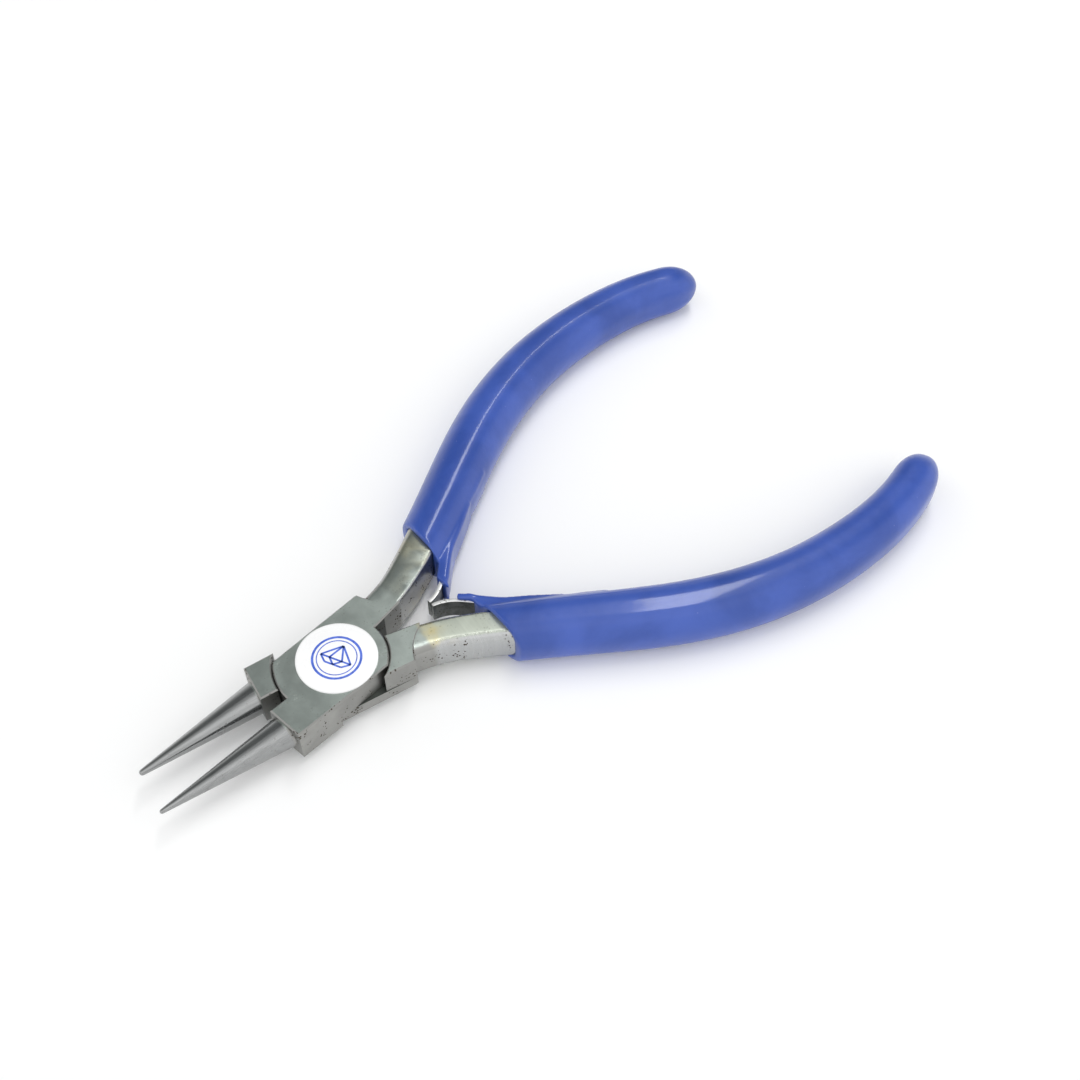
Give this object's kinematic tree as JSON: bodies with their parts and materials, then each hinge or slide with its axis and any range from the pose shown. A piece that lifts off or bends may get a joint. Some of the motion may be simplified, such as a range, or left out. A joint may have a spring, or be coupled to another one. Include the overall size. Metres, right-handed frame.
{
  "type": "round nose pliers",
  "caption": "Round nose pliers with a riveted lap joint, tapered round jaws, twin leaf springs and dipped vinyl grips, for bending wire loops.",
  "frame": {"origin": "pivot axis at the underside of the joint", "axes": "+X towards the jaw tips, +Y towards the upper half's jaw, +Z along the pivot axis towards the label"},
  "size_m": [0.1302, 0.0728, 0.0092],
  "materials": {
    "forged_steel": "satin ground steel, dark flats and brighter polished cones and shanks",
    "rivet_steel": "ground flush, satin",
    "spring_steel": "dark tempered strip with bright cut edges",
    "label": "glossy white paper sticker with plain blue line art",
    "grip_vinyl": "satin-gloss deep blue dipped vinyl"
  },
  "bodies": {
    "upper": {"upper_half": "forged_steel", "upper_grip": "grip_vinyl", "upper_leaf_spring": "spring_steel", "upper_spring_rivet": "rivet_steel", "upper_spring_cover": "grip_vinyl", "joint_rivet": "rivet_steel", "label_disc": "label"},
    "lower": {"lower_half": "forged_steel", "lower_grip": "grip_vinyl", "lower_leaf_spring": "spring_steel", "lower_spring_rivet": "rivet_steel", "lower_spring_cover": "grip_vinyl"}
  },
  "joints": [
    {"name": "jaw_pivot", "type": "hinge", "parent": "upper", "child": "lower", "pos_m": [0, 0, 0], "axis": [0, 0, -1], "range_deg": [-10.9, 18], "stiffness_Nm_per_rad": 2, "deforming": ["upper_leaf_spring", "lower_leaf_spring", "upper_spring_cover", "lower_spring_cover"]}
  ]
}
